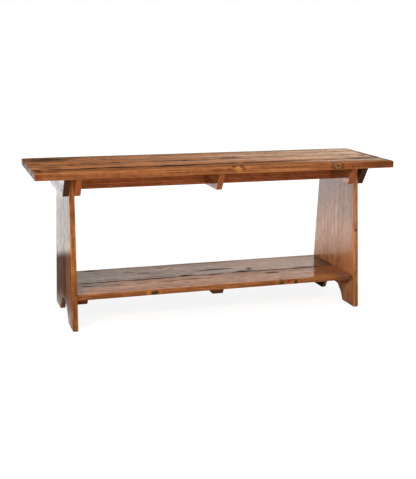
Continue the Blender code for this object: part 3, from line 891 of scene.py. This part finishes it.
LOOKS["shelf_board_front"] = Look(
    TAN_PINE, 11, (0.02, -0.08), weather=0.42, gloss=0.6, blur=0.13,
    knots=(
        ((-0.224, SHELF_FRONT, SHELF_EDGE), (0.011, 0.012, 0.008), 0.8),
        ((0.2199, SHELF_FRONT, SHELF_EDGE), (0.008, 0.022, 0.012), 0.7),
        ((0.2713, SHELF_FRONT, 0.0965), (0.006, 0.028, 0.009), 0.95),
    ),
    patches=(
        edge_stain(SHELF_FRONT, SHELF_EDGE, 0.007, 0.45),
        ((-0.4, SHELF_FRONT, 0.096), (0.08, 0.008, 0.012), UMBER, 0.6),
        ((0.15, SHELF_FRONT, 0.096), (0.07, 0.008, 0.009), UMBER, 0.5),
        ((0.246, SHELF_FRONT, SHELF_EDGE), (0.03, 0.012, 0.012), RUST, 0.7),
        ((0.25, SHELF_FRONT, 0.105), (0.026, 0.012, 0.005), OXBLOOD, 0.85),
        ((-0.242, SHELF_FRONT, 0.1), (0.012, 0.01, 0.007), AMBER, 0.4),
        ((-0.206, SHELF_FRONT, 0.1), (0.01, 0.01, 0.006), AMBER, 0.3),
        # Painted shadow of the left end panel on the shelf: a darker wedge behind its front edge, and
        # painted light along the wedge's lit side
        ((-0.464, -0.09, SHELF_TOP), (0.024, 0.04, 0.02), PAINTED_SHADE, 0.6),
        ((-0.43, -0.125, SHELF_TOP), (0.03, 0.024, 0.006), BLEACHED_AND_LIT, 0.45),
        ((-0.4, -0.045, SHELF_TOP), (0.07, 0.03, 0.02), PAINTED_SHADE, 0.7),
        on_shelf(-0.46, -0.39, -0.048, 0.006),
        on_shelf(-0.35, -0.31, -0.054, 0.007, SOOT_AND_SHADE, 0.6),
        on_shelf(-0.46, -0.38, -0.014, 0.007, SOOT_AND_SHADE, 0.5),
        on_shelf(-0.27, -0.13, -0.017, 0.008),
        on_shelf(-0.2, -0.12, -0.058, 0.007, SOOT_AND_SHADE, 0.6),
        on_shelf(-0.1, -0.03, -0.051, 0.01, SOOT_AND_SHADE, 0.6),
        on_shelf(0.0, 0.05, -0.016, 0.008),
        on_shelf(0.2, 0.25, -0.046, 0.01),
        on_shelf(0.27, 0.4, -0.016, 0.008, SOOT_AND_SHADE, 0.8),
        ((0.43, -0.08, SHELF_TOP), (0.08, 0.09, 0.006), CHESTNUT, 0.6),
        # Painted shade where the shelf's right end meets the end panel
        ((PANEL_FACE, -0.14, 0.1), (0.075, 0.03, 0.02), PAINTED_SHADE, 0.8),
        ((0.45, SHELF_FRONT, SHELF_EDGE), (0.05, 0.012, 0.014), UMBER, 0.6),
    ),
    figures=(
        ((0.246, SHELF_FRONT, SHELF_EDGE), (0.026, 0.012, 0.012), AMBER, 0.6),
        ((0.246, -0.12, SHELF_TOP), (0.04, 0.03, 0.006), UMBER, 0.4),
    ),
    seams=((SHELF_JOINT, 0.007),),
)
LOOKS["shelf_board_rear"] = Look(
    GREY_PINE, 12, (0.02, -0.08), weather=0.45, gloss=0.73, blur=0.13,
    patches=(
        ((0.26, 0.07, SHELF_TOP), (0.24, 0.1, 0.02), TAWNY, 0.6),
        ((-0.36, 0.07, SHELF_TOP), (0.16, 0.1, 0.02), ASH_AND_SHADE, 0.12),
        on_shelf(-0.275, -0.23, 0.08, 0.01, SOOT_AND_SHADE, 0.5),
        on_shelf(-0.24, -0.19, 0.061, 0.01, SOOT_AND_SHADE, 0.5),
        on_shelf(-0.2, -0.15, 0.044, 0.01, SOOT_AND_SHADE, 0.4),
        on_shelf(-0.41, -0.36, 0.14, 0.012),
        on_shelf(-0.48, 0.48, 0.144, 0.012, UMBER, 0.35),
        on_shelf(-0.1, -0.05, -0.003, 0.01),
        on_shelf(-0.03, 0.11, 0.045, 0.009),
        on_shelf(0.09, 0.18, -0.003, 0.013),
        on_shelf(0.155, 0.175, 0.026, 0.018, SOOT_AND_SHADE, 0.8),
        on_shelf(0.32, 0.4, -0.004, 0.008, SOOT_AND_SHADE, 0.8),
        # Painted shade along the shelf's joint with the right end panel
        ((PANEL_FACE, 0.07, SHELF_TOP), (0.055, 0.14, 0.02), ASH_AND_SHADE, 0.75),
    ),
    seams=((SHELF_JOINT, 0.007),),
)
LOOKS["left_end_panel_front_board"] = Look(
    ORANGE_PINE, 31, **LEFT_PANEL,
    patches=(
        dirty_foot(-PANEL_MIDDLE, -0.17, 0.06, 0.45),
        ((-PANEL_MIDDLE, -0.172, 0.11), (0.1, 0.018, 0.03), UMBER, 0.65),
        ((-PANEL_MIDDLE, -0.165, 0.31), (0.09, 0.02, 0.03), AMBER, 0.45),
        painted_shade_under_seat(-PANEL_BACK, -0.13, 0.7),
    ),
)
LOOKS["left_end_panel_middle_board"] = Look(
    BROWN_PINE, 32, **LEFT_PANEL, patches=(painted_shade_under_seat(-PANEL_BACK, 0, 0.7),)
)
LOOKS["left_end_panel_rear_board"] = Look(
    BROWN_PINE, 33, **LEFT_PANEL,
    patches=(
        painted_shade_under_seat(-PANEL_BACK, 0.13, 0.7),
        ((-0.486, 0.09, 0.03), (0.06, 0.02, 0.012), UMBER, 0.9),
    ),
)
LOOKS["right_end_panel_front_board"] = Look(
    HONEY_PINE, 36, **RIGHT_PANEL,
    knots=(((0.49, -0.15, 0.267), (0.004, 0.006, 0.006), 0.5),),
    patches=(
        dirty_foot(PANEL_MIDDLE, -0.17, 0.09, 0.35),
        # Painted light on the lower part of the panel's inner face, and a painted highlight at the top of
        # its front edge
        ((PANEL_FACE, -0.125, 0.17), (0.15, 0.1, 0.01), BLEACHED_AND_LIT, 0.5),
        ((PANEL_MIDDLE, -0.146, 0.41), (0.13, 0.015, 0.03), BLEACHED_AND_LIT, 0.25),
        ((PANEL_MIDDLE, -0.17, 0.105), (0.08, 0.02, 0.03), UMBER, 0.35),
        painted_shade_under_seat(PANEL_FACE, -0.13, 0.4),
        # Painted shade, with dirt, where the shelf's front edge meets the panel
        ((PANEL_FACE, -0.15, 0.099), (0.012, 0.007, 0.005), SOOT_AND_SHADE, 0.6),
        ((PANEL_FACE, -0.085, 0.022), (0.03, 0.007, 0.005), SOOT_AND_SHADE, 0.6),
        ((PANEL_FACE, -0.13, 0.001), (0.005, 0.05, 0.005), SOOT_AND_SHADE, 0.4),
    ),
)
LOOKS["right_end_panel_middle_board"] = Look(
    PALE_PINE, 37, **RIGHT_PANEL,
    patches=(painted_shade_under_seat(PANEL_FACE, 0, 0.5),),
)
LOOKS["right_end_panel_rear_board"] = Look(
    PALE_PINE, 38, **RIGHT_PANEL,
    patches=(
        # Painted shadow on the rear foot, under the shelf
        ((PANEL_FACE, 0.1, 0.0), (0.075, 0.12, 0.014), SOOT_AND_SHADE, 1.0),
        painted_shade_under_seat(PANEL_FACE, 0.13, 0.5),
    ),
)
LOOKS["left_outer_cleat"] = Look(DARK_PINE, 51, RAIL_PITH, end=OUTER_END)
LOOKS["left_inner_cleat"] = Look(RED_PINE, 52, RAIL_PITH, weather=0.28, end=RED_END)
LOOKS["centre_cleat"] = Look(HONEY_PINE, 53, RAIL_PITH, weather=0.28, end=RED_END)
LOOKS["right_inner_cleat"] = Look(HONEY_PINE, 54, RAIL_PITH, weather=0.3, gloss=0.8, end=RED_END)
LOOKS["right_outer_cleat"] = Look(DARK_PINE, 55, RAIL_PITH)
LOOKS["left_shelf_batten"] = Look(DARK_PINE, 56, RAIL_PITH, weather=0.42, end=BATTEN_END)
LOOKS["centre_shelf_batten"] = Look(DARK_PINE, 57, RAIL_PITH, weather=0.42, end=BATTEN_END)
LOOKS["right_shelf_batten"] = Look(RED_PINE, 58, RAIL_PITH, weather=0.42, end=OUTER_END)
LOOKS["seat_spine"] = Look(RED_PINE, 61, (0.06, 0.03), weather=0.28, gloss=0.3)
LOOKS["left_spine_dowel"] = Look(BEECH, 71, (0.01, 0.01))
LOOKS["right_spine_dowel"] = Look(BEECH, 72, (0.01, 0.01))


def finish_board(obj, node, grain):
    """Paints a board with its look. grain holds the axes along, across and through it."""
    paint(obj, BoardShader(node, grain, LOOKS[node]).material)


# Seat, shelf and end panels as finer boards
JOINT = (OPEN_JOINT_ARRIS, OPEN_JOINT_ARRIS)


def add_level_boards(kind, places, arris, nosing, crown, first_seed):
    """The boards of the seat or the shelf, from front to rear."""
    outer = (arris, arris)
    for number, place in enumerate(places):
        node = f"{kind}_board_{place}"
        front = outer if place == "front" else JOINT
        rear = outer if place == "rear" else JOINT
        top_front = nosing if place == "front" else JOINT
        board = level_board(node, (front, rear, rear, top_front), arris, crown, first_seed + number)
        stand_in(board, node)
        finish_board(board, node, (X, Y, Z))


SEAT_PLACES = ("front", "front_middle", "rear_middle", "rear")
SHELF_PLACES = ("front", "rear")
add_level_boards("seat", SEAT_PLACES, SEAT_ARRIS, SEAT_NOSING, SEAT_CROWN, first_seed=11)
add_level_boards("shelf", SHELF_PLACES, SHELF_ARRIS, SHELF_NOSING, SHELF_CROWN, first_seed=21)

for side, first_seed in (("left", 31), ("right", 36)):
    for number, place in enumerate(("front", "middle", "rear")):
        node = f"{side}_end_panel_{place}_board"
        make = middle_panel_board if place == "middle" else outer_panel_board
        board = make(node, first_seed + number)
        stand_in(board, node)
        finish_board(board, node, (Z, Y, X))

# Rails and fasteners keep the model's solids
STEEL = steel_material()
for name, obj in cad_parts.items():
    if "screw" in name:
        paint(obj, STEEL)
    elif "cleat" in name or "batten" in name:
        finish_board(obj, name, (Y, Z, X))
    elif "spine" in name:
        finish_board(obj, name, (X, Z, Y))


def add_camera():
    """The camera that took the photograph."""
    data = bpy.data.cameras.new("photo_camera")
    data.sensor_width = SENSOR
    data.lens = FOCAL_LENGTH * SENSOR / IMAGE_HEIGHT
    data.shift_x = (IMAGE_WIDTH / 2 - OPTICAL_CENTRE[0]) / IMAGE_HEIGHT
    data.shift_y = (OPTICAL_CENTRE[1] - IMAGE_HEIGHT / 2) / IMAGE_HEIGHT
    camera = bpy.data.objects.new("photo_camera", data)
    bpy.context.scene.collection.objects.link(camera)
    turn = Matrix.Rotation(-CAMERA_YAW, 3, "Z") @ Matrix.Rotation(math.pi / 2 - CAMERA_PITCH, 3, "X")
    turn = turn @ Matrix.Rotation(CAMERA_ROLL, 3, "Z")
    camera.matrix_world = Matrix.Translation(CAMERA_PLACE) @ turn.to_4x4()
    bpy.context.scene.camera = camera


# Studio
FLOOR_HALF = 25.0
BLACK = (0, 0, 0, 1)
WHITE = (1, 1, 1, 1)
WARM_WHITE = (1, 0.98, 0.92, 1)
AMBER_WHITE = (1, 0.96, 0.78, 1)
FLOOR_COLOUR = (0.80, 0.80, 0.80, 1)
SEEN_FLOOR_COLOUR = (0.22, 0.22, 0.22, 1)  # what the camera sees of it, on top of the white
SEEN_WHITE = 0.87  # near the bench
SEEN_WHITE_EDGE = (0.9, 2.4)  # distances from the bench over which it becomes full white

# How bright the floor looks in the lacquer
NEAR_FLOOR = 0.17  # in front of and below the bench
FOOT_FLOOR = 1.45  # in a strip along each end panel's feet
FOOT_INNER = (0.47, 0.495)  # where the strip starts and stops, from the bench's middle
FOOT_OUTER = (0.50, 0.545)
FOOT_ENDS = (0.16, 0.36)
FAR_FLOOR = 2.6  # behind the bench
FAR_FLOOR_FROM = (0.78, 0.25)  # how far behind its middle that starts, on the left and on the right
FAR_FLOOR_FULL = (0.95, 1.00)
LEFT_TO_RIGHT = (-0.5, 0.0)
EXTRA_RIGHT = (-0.55, -0.25)  # from here to the right, and from this far behind, it is brighter by 1
EXTRA_BEHIND = (1.9, 2.5)

# How bright the room looks in the lacquer, by the direction's parts along X, Y and Z
ROOM_GLOW = 0.10
LOW_GLARE = 2.6  # on the right, near the horizon
LOW_GLARE_EDGE = (0.20, 0.47)
LOW_GLARE_HEIGHT = 0.13
LOW_GLARE_LEAN = 4.0  # how fast it moves to the right with height
HIGH_GLARE = 1.5  # a band above the horizon
HIGH_GLARE_FROM = (0.20, 0.25)
HIGH_GLARE_TO = (0.34, 0.55)
HIGH_GLARE_RIGHT = 0.6  # added on the right
HIGH_GLARE_RIGHT_EDGE = (0.25, 0.42)
FRONT_SHARE = 0.2  # what is left of all this in front of the bench
FRONT_TO_BEHIND = (-0.2, 0.5)
AMBER_TO_WARM = (0.16, 0.22)  # heights over which the glare changes its colour
FILL = 0.34  # the room's light on the bench, apart from what the lacquer mirrors


def mirrored_rays(g, path):
    """1 for rays that show something in a gloss, and 0 for others."""
    return g.most(path["Is Glossy Ray"], path["Is Transmission Ray"])


def mirrored_floor(g, place, right):
    """How bright the floor looks in the lacquer, by its place."""
    starts, fulls = [
        g.ramp(right, start=left_end, gain=right_end - left_end)
        for left_end, right_end in (FAR_FLOOR_FROM, FAR_FLOOR_FULL)
    ]
    brighter = g.most(g.rise(place[X], *EXTRA_RIGHT), g.rise(place[Y], *EXTRA_BEHIND))
    far = g.times(g.rise(place[Y], starts, fulls), g.plus(FAR_FLOOR, brighter))
    out = g.math("ABSOLUTE", place[X])
    foot = g.times(g.rise(out, *FOOT_INNER), g.fall(out, *FOOT_OUTER))
    foot = g.times(foot, g.fall(g.math("ABSOLUTE", place[Y]), *FOOT_ENDS))
    near = g.ramp(foot, start=NEAR_FLOOR, gain=FOOT_FLOOR - NEAR_FLOOR)
    return g.plus(near, far)


def add_floor():
    """White for the camera apart from the bench's shadow, grey for the light, and clear from below."""
    mesh = bpy.data.meshes.new("floor")
    corners = [(-1, -1), (1, -1), (1, 1), (-1, 1)]
    mesh.from_pydata([(x * FLOOR_HALF, y * FLOOR_HALF, 0) for x, y in corners], [], [(0, 1, 2, 3)])
    floor = bpy.data.objects.new("floor", mesh)
    bpy.context.scene.collection.objects.link(floor)
    material = bpy.data.materials.new("studio_floor")
    material.use_nodes = True
    material.node_tree.nodes.clear()
    g = Graph(material.node_tree)
    path = g.node("LightPath", {})
    mirrored = mirrored_rays(g, path)
    spot = g.node("NewGeometry", {})
    place = g.parts(spot["Position"])
    right = g.rise(place[X], *LEFT_TO_RIGHT)
    away = g.length(g.vector("MULTIPLY", spot["Position"], (1, 1, 0)))
    seen = g.ramp(g.rise(away, *SEEN_WHITE_EDGE), start=SEEN_WHITE, gain=1 - SEEN_WHITE)
    seen = g.times(path["Is Camera Ray"], seen)
    glow = g.plus(seen, g.times(mirrored, mirrored_floor(g, place, right)))
    warmth = g.times(mirrored, right)
    white = g.node("Emission", {"Color": g.blend(warmth, WHITE, WARM_WHITE), "Strength": glow})[0]
    colour = g.blend(path["Is Camera Ray"], FLOOR_COLOUR, SEEN_FLOOR_COLOUR)
    plain = g.node("BsdfDiffuse", {"Color": g.blend(mirrored, colour, BLACK)})[0]
    lit = g.node("AddShader", {0: plain, 1: white})[0]
    clear = g.node("BsdfTransparent", {})[0]
    surface = g.node("MixShader", {0: spot["Backfacing"], 1: lit, 2: clear})[0]
    g.node("OutputMaterial", {"Surface": surface})
    mesh.materials.append(material)


def add_world():
    """White behind the bench; in the lacquer a room that is dim at the horizon and brighter above."""
    world = bpy.data.worlds.new("studio")
    bpy.context.scene.world = world
    world.use_nodes = True
    world.node_tree.nodes.clear()
    g = Graph(world.node_tree)
    path = g.node("LightPath", {})
    mirrored = mirrored_rays(g, path)
    way = g.parts(g.node("TexCoord", {})["Generated"])
    low = g.minus(way[X], g.times(g.minus(way[Z], LOW_GLARE_HEIGHT), LOW_GLARE_LEAN))
    low = g.times(g.rise(low, *LOW_GLARE_EDGE), LOW_GLARE)
    high = g.times(g.rise(way[Z], *HIGH_GLARE_FROM), g.fall(way[Z], *HIGH_GLARE_TO))
    on_right = g.rise(way[X], *HIGH_GLARE_RIGHT_EDGE)
    high = g.times(high, g.ramp(on_right, start=HIGH_GLARE, gain=HIGH_GLARE_RIGHT))
    glow = g.plus(ROOM_GLOW, g.plus(low, high))
    behind = g.rise(way[Y], *FRONT_TO_BEHIND)
    glow = g.times(glow, g.ramp(behind, start=FRONT_SHARE, gain=1 - FRONT_SHARE))
    light = g.plus(g.times(mirrored, g.minus(glow, FILL)), FILL)
    light = g.most(path["Is Camera Ray"], light)
    glare = g.blend(g.rise(way[Z], *AMBER_TO_WARM), AMBER_WHITE, WARM_WHITE)
    shown = g.node("Background", {"Color": g.blend(mirrored, WHITE, glare), "Strength": light})[0]
    g.node("OutputWorld", {"Surface": shown})


def add_lamp(name, place, target, size, power):
    """A soft lamp that no gloss shows."""
    data = bpy.data.lights.new(name, "AREA")
    data.shape = "RECTANGLE"
    data.size, data.size_y = size
    data.energy = power
    lamp = bpy.data.objects.new(name, data)
    bpy.context.scene.collection.objects.link(lamp)
    lamp.location = place
    lamp.visible_glossy = False
    lamp.rotation_euler = (Vector(target) - Vector(place)).to_track_quat("-Z", "Y").to_euler()


add_camera()
add_floor()
add_world()
add_lamp("key_softbox", place=(-1.0, -3.2, 1.7), target=(0, 0, 0.3), size=(2.0, 2.4), power=72)
add_lamp("top_softbox", place=(0.2, 0.1, 3.2), target=(0, 0, 0.3), size=(2.6, 2.0), power=40)
add_lamp("left_softbox", place=(-2.7, -2.4, 2.1), target=(0, 0, 0.25), size=(0.4, 0.4), power=46)
bpy.context.scene.view_settings.view_transform = "Standard"
